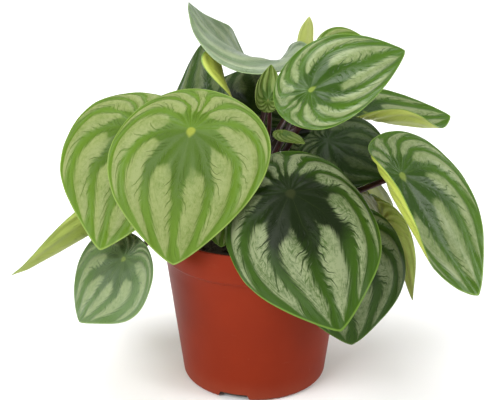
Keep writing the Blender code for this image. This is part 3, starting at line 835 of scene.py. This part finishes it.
@dataclass
class BladeMaker:
    """Grows blades from one Geometry Nodes tree.

    The outline is a rule of the turn round the margin; cupping, twist and bend carry the
    flat blade into place; grooves along the bands and a soft ripple make it a leaf.
    """

    materials: Materials
    base_lobe: float = 0.32         # reach of the lobes behind the joint, as a share of the length
    drip_tip: float = 0.09          # length of the drawn-out tip, as such a share
    drip_sharpness: float = 12
    tip_taper: float = 1.5
    base_bend_at: float = 0.3       # share of the length over which the base bend is counted
    rings: int = 24
    sectors: int = 104
    half_flesh: float = 0.6 * MM
    flesh_at_margin: float = 0.55
    margin_rounding: float = 30     # how close to the margin the flesh rounds off
    usual_length: float = 80        # blades of this length get these grooves and ripples
    groove: float = 1.3 * MM
    ripple: float = 1.6 * MM
    straightness: float = 0.001     # curvature that stands for none, per metre
    weld: float = 1e-6              # how close vertices must be to become one, in metres
    graph: Graph = field(init=False)

    def __post_init__(self) -> None:
        """Builds the tree once."""
        self.build_tree()

    def margin(self, turn: Wire, length: Wire, half_width: Wire, skew: Wire) -> tuple[Wire, Wire]:
        """Margin of the flat blade; turn goes from 0 at the base to 0.5 at the tip and on to 1."""
        sine = abs((turn * math.pi).sin())
        cosine = abs((turn * math.pi).cos())
        taper = self.tip_taper
        widest = math.sqrt(1 / (1 + taper)) * (taper / (1 + taper)) ** (taper / 2)
        side = 1 - 2 * (turn > 0.5)
        x = side * half_width * sine * cosine ** taper / widest
        way = sine * sine
        y = length * (way * (1 - self.drip_tip + self.base_lobe) - self.base_lobe
                      + self.drip_tip * way ** self.drip_sharpness)
        return x, y - skew * x * 4 * way * (1 - way)

    def bent(self, distance: Wire, curvature: Wire) -> tuple[Wire, Wire]:
        """Where a straight run of this length ends once it is bent to an even curvature."""
        steady = curvature + self.straightness
        angle = steady * distance
        return angle.sin() / steady, (angle.cos() - 1) / steady

    def curl(self, x: Wire, y: Wire, take: dict[str, Wire]) -> tuple[Wire, Wire, Wire]:
        """Carries points of the flat blade onto the cupped, twisted and bent blade."""
        on_right = x > 0
        cup = (take["Left Cup"] + (take["Right Cup"] - take["Left Cup"]) * on_right) / take["Half Width"]
        share = y / take["Length"]
        across, drop = self.bent(abs(x), cup * (1 + take["Growth"] * share))
        across = across * (2 * on_right - 1)
        twist = take["Twist"] * share
        right = across * twist.cos() + drop * twist.sin()
        height = drop * twist.cos() - across * twist.sin()
        ahead = y > 0
        base_rate = take["Base Bend"] / self.base_bend_at
        bend = (base_rate + (take["Tip Bend"] - base_rate) * ahead) / take["Length"]
        forward, sag = self.bent(abs(y), bend)
        turned_by = bend * abs(y)
        along = (2 * ahead - 1) * (forward + height * turned_by.sin())
        return right, along, sag + height * turned_by.cos()

    def relief(self, x: Wire, y: Wire, out: Wire, nearest: Wire, take: dict[str, Wire]) -> Wire:
        """Height of the grooves along the bands and of the ripples round the margin."""
        graph = self.graph
        puff = 1 - (nearest * nearest * -0.22).exp()
        reach = out.smooth(0.04, 0.35) * out.fade(0.86, 1.0)
        drift = graph.noise(graph.vector(x, y, take["Seed"]), 24.0, 1.0) - 0.5
        wave = graph.noise(graph.vector(x + 1.0, y, take["Seed"]), 62.0, 1.0) - 0.5
        return (take["Groove"] * (puff - 0.5) * reach
                + take["Ripple"] * (drift * 2 * out * out + wave * out ** 6))

    def flesh(self, out: Wire) -> Wire:
        """Half the blade's thickness, which thins and rounds off to nothing at the margin."""
        return (self.half_flesh * (1 - (1 - self.flesh_at_margin) * out)
                * (1.0001 - out ** self.margin_rounding).sqrt() * (1 - (out > 0.9999)))

    def build_tree(self) -> None:
        """The blade tree: a grid rolled into the outline, curled, thickened and closed."""
        self.graph = graph = geometry_graph("grow_blade")
        take = graph.take_all(
            Float=("Length", "Half Width", "Tip Bend", "Base Bend", "Right Cup", "Left Cup", "Growth",
                   "Skew", "Twist", "Groove", "Ripple", "Seed", "Depth", "Bloom"),
            Vector=("Place", "Right", "Along", "Up"), Material=("Upper", "Under"))
        shape = graph.put("GeometryNodeMeshGrid", {"Size X": 1.0, "Size Y": 1.0, "Vertices X": self.rings + 1,
                                                   "Vertices Y": self.sectors + 1})
        way_out, way_round, _ = graph.put("GeometryNodeInputPosition").parts()
        out = ((way_out + 0.5) * (math.pi / 2)).sin()
        turn = way_round + 0.5
        margin_x, margin_y = self.margin(turn, take["Length"], take["Half Width"], take["Skew"])
        x = margin_x * out
        y = margin_y * out
        angle = graph.math("ARCTAN2", abs(margin_x), margin_y) * (180 / math.pi)
        label = angle + (FIGURE.margin_label(angle) - angle) * out ** FIGURE.gather
        label = label * (1 - 2 * (turn > 0.5))
        relief = self.relief(x, y, out, FIGURE.nearest(label), take)
        shape = graph.store(shape, "leaf_polar", "FLOAT2", "CORNER", graph.vector(label / 360 + 0.5, out))
        shape = graph.store(shape, "leaf_flat", "FLOAT2", "CORNER", graph.vector(x + take["Seed"], y))
        # Each blade carries how much painted shade and painted sheen its upper side gets.
        for name, value in (("leaf_painted_shade", take["Depth"]), ("leaf_bloom", take["Bloom"]),
                            ("relief", relief), ("flesh", self.flesh(out))):
            shape = graph.store(shape, name, "FLOAT", "POINT", value)
        place = take["Place"]
        for name, reach in zip(("Right", "Along", "Up"), self.curl(x, y, take)):
            place = graph.scale_add(take[name], reach, place)
        shape = graph.put("GeometryNodeSetPosition", {"Geometry": shape, "Position": place})
        sheet = graph.put("GeometryNodeMergeByDistance", {"Geometry": shape, "Distance": self.weld})
        under = graph.put("GeometryNodeFlipFaces", {"Mesh": self.skin_sheet(sheet, -1.0)})
        both = graph.add("GeometryNodeJoinGeometry")
        for half, below in ((self.skin_sheet(sheet, 1.0), False), (under, True)):
            graph.feed(graph.store(half, "underside", "BOOLEAN", "FACE", below), both.inputs[0])
        shape = graph.put("GeometryNodeMergeByDistance",
                          {"Geometry": both.outputs[0], "Distance": 2 * self.weld})
        shape = graph.put("GeometryNodeSetShadeSmooth", {"Geometry": shape})
        for name in ("relief", "flesh"):
            shape = graph.put("GeometryNodeRemoveAttribute", {"Geometry": shape, "Name": name})
        below = graph.recall("underside", "BOOLEAN")
        graph.close(shape, (take["Upper"], True), (take["Under"], below))

    def skin_sheet(self, sheet: Wire, side: float) -> Wire:
        """Moves the middle surface along its normals by the relief and half the flesh."""
        graph = self.graph
        push = graph.recall("relief", "FLOAT") + graph.recall("flesh", "FLOAT") * side
        offset = graph.scale_add(graph.put("GeometryNodeInputNormal"), push)
        return graph.put("GeometryNodeSetPosition", {"Geometry": sheet, "Offset": offset})

    def make(self, name: str, leaf: Leaf, seed: int) -> None:
        """Grows one blade and seats it in place of its solid."""
        size = leaf.length / self.usual_length
        values = {name: convert(getattr(leaf, name.lower().replace(" ", "_")))
                  for convert, names in MEASURES.items() for name in names}
        values.update(zip(("Right", "Along", "Up"), leaf.axes()))
        values.update({
            "Length": leaf.length * MM, "Half Width": leaf.half_width * MM, "Place": Vector(leaf.place) * MM,
            "Groove": self.groove * size, "Ripple": self.ripple * size, "Seed": SEED_STEP * seed,
            "Upper": self.materials.upper[leaf.tone], "Under": self.materials.under[leaf.tone]})
        settle(grow(f"blade_{name}", self.graph, values), f"leaf_{name}")


# --- petioles ------------------------------------------------------------------------------

@dataclass
class PetioleMaker:
    """Grows petioles, in millimetres, from one Geometry Nodes tree along a single curve each."""

    materials: Materials
    radius: float = 1.5
    young_radius: float = 1.1
    young_length: float = 31.0          # blades up to this length have a young petiole
    root_swell: float = 1.13
    neck_taper: float = 0.87
    gap: float = 0.3
    half_blade: float = 0.6
    steps: int = 36
    sides: int = 14
    root_flare: Pair = (0.22, 22)       # how much thicker, and how soon that is gone
    neck_flare: Pair = (0.30, 30)
    knots: float = 0.10                 # unevenness, as a share of the radius
    graph: Graph = field(init=False)

    def __post_init__(self) -> None:
        """Builds the tree once."""
        self.build_tree()

    def build_tree(self) -> None:
        """The petiole tree: one curve, swollen at the root, swept with a round section."""
        self.graph = graph = geometry_graph("grow_petiole")
        take = graph.take_all(Vector=("Root", "Root Handle", "Neck Handle", "Neck"),
                              Float=("Radius", "Swell", "Taper"), Material=("Finish",))
        run = graph.put("GeometryNodeCurvePrimitiveBezierSegment",
                        {"Resolution": self.steps, "Start": take["Root"], "Start Handle": take["Root Handle"],
                         "End Handle": take["Neck Handle"], "End": take["Neck"]}, mode="POSITION")
        factor = graph.put("GeometryNodeSplineParameter", None, "Factor")
        even = take["Swell"] + (take["Taper"] - take["Swell"]) * factor
        (root, root_fall), (neck, neck_fall) = self.root_flare, self.neck_flare
        flare = (factor * -root_fall).exp() * root + ((factor - 1) * neck_fall).exp() * neck
        knots = graph.noise(graph.vector(factor * 5, take["Radius"] * 900), 1.0, 1.0) - 0.5
        radius = take["Radius"] * (even + flare + knots * self.knots)
        shape = graph.put("GeometryNodeSetCurveRadius", {"Curve": run, "Radius": radius})
        shape = graph.store(shape, "stalk_run", "FLOAT", "POINT", factor)
        ring = graph.put("GeometryNodeCurvePrimitiveCircle", {"Resolution": self.sides, "Radius": 1.0},
                         mode="RADIUS")
        shape = graph.put("GeometryNodeCurveToMesh",
                          {"Curve": shape, "Profile Curve": ring, "Fill Caps": True,
                           "Scale": graph.put("GeometryNodeInputRadius")})
        shape = graph.put("GeometryNodeSetShadeSmooth", {"Geometry": shape})
        graph.close(shape, (take["Finish"], True))

    def controls(self, leaf: Leaf, radius: float) -> tuple[Vector, Vector, Vector, Vector]:
        """Root, two handles and neck of the curve that a petiole follows, in metres."""
        climb = math.radians(leaf.climb or leaf.ring.climb)
        lean = math.radians(leaf.lean)
        root_angle = math.radians(leaf.root)
        outward = Vector((math.cos(root_angle), math.sin(root_angle), 0.0))
        seat = leaf.ring.radius + self.gap + radius * self.root_swell * math.sin(climb)
        root = outward * seat + Vector((0, 0, leaf.ring.height))
        leaving = outward * math.cos(climb) + Vector((0, 0, math.sin(climb)))
        _, along, up = leaf.axes()
        below = self.half_blade + self.gap + radius * self.neck_taper * math.sin(lean)
        neck = Vector(leaf.place) - up * below
        arriving = up * math.cos(lean) + along * math.sin(lean)
        span = (neck - root).length
        handles = (root, root + leaving * span * leaf.root_reach,
                   neck - arriving * span * leaf.neck_reach, neck)
        return tuple(point * MM for point in handles)

    def make(self, name: str, leaf: Leaf) -> None:
        """Grows one petiole and seats it in place of its solid."""
        radius = self.young_radius if leaf.length <= self.young_length else self.radius
        values = dict(zip(("Root", "Root Handle", "Neck Handle", "Neck"), self.controls(leaf, radius)))
        values.update({"Radius": radius * MM, "Swell": self.root_swell, "Taper": self.neck_taper,
                       "Finish": self.materials.petiole})
        settle(grow(f"stalk_{name}", self.graph, values), f"petiole_{name}")


# --- turned pieces -------------------------------------------------------------------------

def arc(centre: Pair, radius: float, start: float, end: float, steps: int = 8) -> list[Pair]:
    """Points of a profile's rounding, from one angle to the other, in degrees."""
    angles = np.radians(np.linspace(start, end, steps + 1))
    return [(centre[0] + radius * math.cos(a), centre[1] + radius * math.sin(a)) for a in angles]


def turned(profile: list[Pair], segments: int) -> bmesh.types.BMesh:
    """A closed shape turned round Z from a profile that starts and ends on the axis."""
    shape = bmesh.new()
    turns = [math.tau * number / segments for number in range(segments)]
    rings = [[shape.verts.new(Vector((r * math.cos(a), r * math.sin(a), z)) * MM)
              for a in (turns if r > 0 else turns[:1])] for r, z in profile]
    for low, high in zip(rings, rings[1:]):
        for here, there in zip(range(segments), (*range(1, segments), 0)):
            corners = (low[here % len(low)], low[there % len(low)],
                       high[there % len(high)], high[here % len(high)])
            shape.faces.new(dict.fromkeys(corners))
    return shape


def to_mesh(shape: bmesh.types.BMesh, name: str,
            material: Optional[bpy.types.Material] = None) -> bpy.types.Mesh:
    """Turns a bmesh into a mesh with one material, or none."""
    mesh = bpy.data.meshes.new(name)
    shape.to_mesh(mesh)
    shape.free()
    if material:
        mesh.materials.append(material)
    return mesh


def soften(mesh: bpy.types.Mesh, sharp_over: float = 35) -> bpy.types.Mesh:
    """Smooths a mesh but for edges sharper than an angle in degrees."""
    mesh.shade_smooth()
    mesh.set_sharp_from_angle(angle=math.radians(sharp_over))
    return mesh


@dataclass
class Pot:
    """The nursery pot: tapered wall, stepped-out collar, lip and three drain notches."""

    materials: Materials
    foot_radius: float = 44.0
    foot_rounding: float = 3.6
    shoulder_radius: float = 55.0
    shoulder_height: float = 83.5
    collar_radius: float = 59.0
    collar_height: float = 86.6
    rim_radius: float = 60.0
    rim_height: float = 105.0
    wall: float = 1.6
    ease: float = 0.8               # rounding of the step from wall to collar
    flare: float = 0.5              # how far the collar has widened ...
    flare_height: float = 9.0       # ... at this height over its foot
    outer_rings: tuple[float, ...] = (12, 28, 46, 64, 76)
    inner_rings: tuple[float, ...] = (60, 30)
    segments: int = 144
    notch_directions: tuple[float, ...] = (-107.0, 13.0, 133.0)
    notch_height: float = 4.8
    notch_low: float = 21.0
    notch_high: float = 17.0
    notch_inner: float = 36.0
    notch_outer: float = 50.0
    notch_overcut: float = 1.0

    def wall_radius(self, height: float) -> float:
        """Radius of the outer wall below the collar."""
        return self.foot_radius + (self.shoulder_radius - self.foot_radius) * height / self.shoulder_height

    def corner(self, inset: float) -> list[Pair]:
        """The rounded corner between base and wall, inset from the outer face."""
        taper = math.degrees(math.atan2(self.shoulder_radius - self.foot_radius, self.shoulder_height))
        slant = self.foot_rounding / math.cos(math.radians(taper))
        centre = (self.wall_radius(self.foot_rounding) - slant, self.foot_rounding)
        return arc(centre, self.foot_rounding - inset, -90, -taper)

    def profile(self) -> list[Pair]:
        """Outer face, rounded lip and inner face, from the axis below to the axis above."""
        lip = self.wall / 2
        lip_centre = (self.rim_radius - lip, self.rim_height - lip)
        ease = self.ease
        flared = self.collar_height + self.flare_height
        outside = [(0, 0), *self.corner(0),
                   *((self.wall_radius(h), h) for h in self.outer_rings),
                   (self.shoulder_radius - ease / 8, self.shoulder_height - ease),
                   (self.shoulder_radius + ease / 2, self.shoulder_height + ease / 3),
                   (self.collar_radius - ease, self.collar_height - ease),
                   (self.collar_radius, self.collar_height + ease / 2),
                   (self.collar_radius + self.flare, flared)]
        inside = [(self.collar_radius - self.wall + self.flare, flared),
                  (self.collar_radius - self.wall, self.collar_height + lip),
                  (self.shoulder_radius - self.wall, self.shoulder_height + lip),
                  *((self.wall_radius(h) - self.wall, h) for h in self.inner_rings),
                  *reversed(self.corner(self.wall)), (0, self.wall)]
        return outside + arc(lip_centre, lip, 0, 180) + inside

    def notch_cutter(self, direction: float) -> bpy.types.Object:
        """A trapezoid bar, wide side down, that runs out through the pot's corner."""
        spread = (self.notch_low - self.notch_high) / self.notch_height * self.notch_overcut
        low = (self.notch_low + spread) / 2
        high = self.notch_high / 2
        section = [(-low, -self.notch_overcut), (low, -self.notch_overcut),
                   (high, self.notch_height), (-high, self.notch_height)]
        shape = bmesh.new()
        end = shape.faces.new([shape.verts.new(Vector((self.notch_inner, y, z)) * MM) for y, z in section])
        run = bmesh.ops.extrude_face_region(shape, geom=[end])
        moved = [item for item in run["geom"] if isinstance(item, bmesh.types.BMVert)]
        bmesh.ops.translate(shape, verts=moved, vec=Vector((self.notch_outer - self.notch_inner, 0, 0)) * MM)
        bmesh.ops.rotate(shape, verts=shape.verts, cent=(0, 0, 0),
                         matrix=Matrix.Rotation(math.radians(direction), 3, "Z"))
        bmesh.ops.recalc_face_normals(shape, faces=shape.faces)
        return link_piece("notch_cutter", to_mesh(shape, "notch_cutter"))

    def make(self) -> None:
        """Turns the pot, cuts its notches and seats it in place of its solid."""
        solid = to_mesh(turned(self.profile(), self.segments), "pot_blank", self.materials.pot)
        blank = link_piece("pot_blank", soften(solid))
        cutters = [self.notch_cutter(direction) for direction in self.notch_directions]
        for cutter in cutters:
            cut = blank.modifiers.new("drain", "BOOLEAN")
            cut.operation = "DIFFERENCE"
            cut.solver = "EXACT"
            cut.object = cutter
        shell = freeze(blank, "pot_shell")
        for spent in (blank, *cutters):
            bpy.data.objects.remove(spent, do_unlink=True)
        settle(link_piece("pot_shell", soften(shell)), "pot")


@dataclass(frozen=True)
class Lumps:
    """One kind of lump that lies on the compost."""

    density: float      # lumps for each square metre
    smallest: float     # radii in millimetres
    largest: float
    stretch: float      # length against width
    seed: int
    look: str           # which of the materials it has


LUMPS: dict[str, Lumps] = {
    "compost_crumbs": Lumps(160000.0, 0.35, 1.5, 1.25, 3, "crumb"),
    "compost_perlite": Lumps(2600.0, 0.5, 1.3, 1.1, 5, "perlite"),
    "compost_fibres": Lumps(9000.0, 0.16, 0.4, 9.0, 8, "crumb"),
}


@dataclass
class Compost:
    """The compost: a lumpy bed with crumbs, perlite and bark fibres scattered on it."""

    materials: Materials
    pot: Pot
    gap: float = 0.3
    edge_level: float = 95.0
    top_level: float = 97.0
    top_radius: float = 30.0
    rings: int = 34
    segments: int = 96
    waves: int = 14                 # waves that make the bed lumpy
    wave_seed: int = 11
    wave_height: float = 0.33
    sunk: float = 0.9               # how far the bed lies under its solid's top, on average

    def lump(self, x: float, y: float, phases: np.ndarray) -> float:
        """Height of the waves at a place on the bed, as a multiple of the first one's."""
        return sum(math.sin(x * (0.16 + 0.07 * k) * math.cos(p[0]) + y * (0.16 + 0.07 * k)
                            * math.sin(p[0]) + p[1]) / (1 + 0.35 * k)
                   for k, p in enumerate(phases))

    def bed(self) -> bpy.types.Object:
        """The bed: the root ball's outside with a lumpy top."""
        inner = self.pot.wall + self.gap
        collar = self.pot.collar_radius - inner
        rings = [(r, self.edge_level + (self.top_level - self.edge_level)
                  * min(1.0, (collar - r) / (collar - self.top_radius)))
                 for r in np.linspace(collar, 1.5, self.rings)]
        profile = [(0, inner), *self.pot.corner(inner),
                   (self.pot.shoulder_radius - inner, self.pot.shoulder_height + self.pot.wall),
                   (collar, self.pot.collar_height + self.pot.wall), *rings, (0, self.top_level)]
        shape = turned(profile, self.segments)
        phases = np.random.default_rng(self.wave_seed).uniform(0, math.tau, (self.waves, 3))
        for vertex in shape.verts:
            x, y, z = vertex.co / MM
            if z > self.edge_level - 0.5:
                vertex.co.z += (self.wave_height * self.lump(x, y, phases) - self.sunk) * MM
        bed = link_piece("compost_bed", soften(to_mesh(shape, "compost_bed", self.materials.compost), 80))
        settle(bed, "compost")
        return bed

    def scatter_tree(self) -> Graph:
        """The scatter tree: faceted lumps of random size, turn and stretch on a surface."""
        graph = geometry_graph("scatter_lumps")
        take = graph.take_all(Geometry=("Surface",), Float=("Density", "Smallest", "Largest", "Stretch"),
                              Int=("Seed",), Material=("Finish",))
        here = graph.put("GeometryNodeInputPosition")
        level = here.parts()[2] > (self.edge_level - 3) * MM
        upward = graph.put("GeometryNodeInputNormal").parts()[2] > 0.4
        points = graph.put("GeometryNodeDistributePointsOnFaces",
                           {"Mesh": take["Surface"], "Selection": level * upward,
                            "Density": take["Density"], "Seed": take["Seed"]})
        lump = graph.put("GeometryNodeMeshIcoSphere", {"Radius": 1.0, "Subdivisions": 2})
        rough = graph.scale_add(here, graph.noise(here, 1.3, 1.0) * 1.1 - 0.55)
        dented = graph.put("GeometryNodeSetPosition", {"Geometry": lump, "Offset": rough})
        turn = graph.put("FunctionNodeRandomValue", {0: (0, 0, 0), 1: (math.tau,) * 3, "Seed": take["Seed"]},
                         data_type="FLOAT_VECTOR")
        chance = graph.put("FunctionNodeRandomValue", {"Seed": take["Seed"]}, 1, data_type="FLOAT")
        size = take["Smallest"] + (take["Largest"] - take["Smallest"]) * chance ** 3
        shape = graph.vector(size * take["Stretch"], size, size * 0.8)
        placed = graph.put("GeometryNodeInstanceOnPoints",
                           {"Points": points, "Instance": dented, "Rotation": turn, "Scale": shape})
        graph.close(placed, (take["Finish"], True))
        return graph

    def make(self) -> None:
        """Makes the bed and scatters crumbs, perlite and fibres on it."""
        bed = self.bed()
        graph = self.scatter_tree()
        for name, kind in LUMPS.items():
            values = {"Density": kind.density, "Smallest": kind.smallest * MM, "Largest": kind.largest * MM,
                      "Stretch": kind.stretch, "Seed": kind.seed,
                      "Finish": getattr(self.materials, kind.look)}
            settle(grow(name, graph, values, bed.data.copy()), None)


@dataclass
class Crown:
    """The crown: a short lumpy stump with the scars of shed leaves."""

    materials: Materials
    foot: float = 97.3
    top: float = 119.0
    slope: float = 1.0              # half the height over which one radius runs into the next
    rounding: float = 0.8
    scars: float = 0.045            # unevenness, as a share of the radius
    segments: int = 64

    def make(self) -> None:
        """Turns the stump, roughens it and seats it in place of its solid."""
        stops = [(LOW.radius, self.foot)]
        for below, above in ((LOW, MIDDLE), (MIDDLE, TOP)):
            middle = (below.height + above.height) / 2
            stops += [(below.radius, middle - self.slope), (above.radius, middle + self.slope)]
        stops.append((TOP.radius, self.top - self.rounding))
        profile = [(0, self.foot)]
        for (r0, z0), (r1, z1) in zip(stops, stops[1:]):
            profile += [(r0 + (r1 - r0) * t, z0 + (z1 - z0) * t) for t in np.linspace(0, 1, 6)[:-1]]
        profile += [stops[-1], (TOP.radius / 2, self.top), (0, self.top)]
        shape = turned(profile, self.segments)
        for vertex in shape.verts:
            x, y, z = vertex.co / MM
            angle = math.atan2(y, x)
            lump = 0.35 * math.sin(angle * 7 + z * 0.6) + 0.25 * math.sin(angle * 13 - z * 1.1)
            swell = 1 - self.scars + self.scars * lump
            vertex.co.x *= swell
            vertex.co.y *= swell
        stump = soften(to_mesh(shape, "crown_stump", self.materials.crown), 60)
        settle(link_piece("crown_stump", stump), "crown")


# --- studio --------------------------------------------------------------------------------

@dataclass(frozen=True)
class Softbox:
    """A square soft light, in metres and watts, that faces the plant."""

    place: tuple[float, float, float]
    size: float
    power: float
    target: tuple[float, float, float] = (0, 0, 0.12)

    def put_up(self, name: str) -> None:
        """Sets the light up in the scene."""
        data = bpy.data.lights.new(name, "AREA")
        data.size = self.size
        data.energy = self.power
        lamp = link_piece(name, data)
        lamp.location = self.place
        lamp.rotation_euler = (Vector(self.target) - Vector(self.place)).to_track_quat("-Z", "Y").to_euler()


SOFTBOXES: dict[str, Softbox] = {
    "key_softbox": Softbox((-1.05, -0.95, 1.0), 1.2, 33),
    "back_softbox": Softbox((-0.2, 0.55, 1.45), 1.1, 19),
    "right_softbox": Softbox((1.3, -0.5, 0.8), 0.8, 14),
}


@dataclass
class Studio:
    """Pale floor, soft lights, dim surroundings and the camera, in metres and degrees."""

    distance: float = 0.900
    height: float = 0.503
    pitch: float = 23.3         # how far the camera looks down
    sideways: float = -0.0027
    lens: float = 116.1
    sensor: float = 36.0
    floor_half: float = 6.0
    surround: float = 0.60
    surround_mirrored: float = 0.20     # what gloss sees of the dim room round the lights

    def floor(self) -> None:
        """A wide pale floor."""
        surface = Surface("floor")
        graph = surface.graph
        cloud = graph.noise(graph.put("ShaderNodeTexCoord", None, "Object"), 3.0)
        surface.finish(graph.coats((0.86,) * 3, (cloud, (0.90,) * 3)), 0.8)
        shape = bmesh.new()
        bmesh.ops.create_grid(shape, x_segments=1, y_segments=1, size=self.floor_half)
        mesh = soften(to_mesh(shape, "floor", surface.material))
        link_piece("floor", mesh)

    def surroundings(self) -> None:
        """A white world that gloss sees dimmer."""
        world = bpy.data.worlds.new("surroundings")
        world.use_nodes = True
        graph = Graph(world.node_tree)
        backdrop = world.node_tree.nodes["Background"]
        mirrored = graph.put("ShaderNodeLightPath", None, "Is Glossy Ray")
        graph.feed((1, 1, 1, 1), backdrop.inputs["Color"])
        graph.feed(self.surround - (self.surround - self.surround_mirrored) * mirrored,
                   backdrop.inputs["Strength"])
        bpy.context.scene.world = world

    def camera(self) -> None:
        """The camera, level from side to side."""
        data = bpy.data.cameras.new("camera")
        data.lens = self.lens
        data.sensor_width = self.sensor
        camera = link_piece("camera", data)
        camera.location = (self.sideways, -self.distance, self.height)
        camera.rotation_euler = (math.radians(90 - self.pitch), 0, 0)
        bpy.context.scene.camera = camera

    def make(self) -> None:
        """Places floor, lights, surroundings and camera."""
        self.floor()
        for name, softbox in SOFTBOXES.items():
            softbox.put_up(name)
        self.surroundings()
        self.camera()
        bpy.context.scene.view_settings.view_transform = "Standard"


def main() -> None:
    """Builds the studio, then the plant, and records both sizes."""
    logging.basicConfig(level=logging.INFO, format="%(name)s %(message)s")
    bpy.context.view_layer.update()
    Studio().make()
    materials = Materials()
    pot = Pot(materials)
    pot.make()
    Compost(materials, pot).make()
    Crown(materials).make()
    blades = BladeMaker(materials)
    petioles = PetioleMaker(materials)
    for number, (name, leaf) in enumerate(LEAVES.items(), start=1):
        blades.make(name, leaf, number)
        petioles.make(name, leaf)


if __name__ == "__main__":
    main()
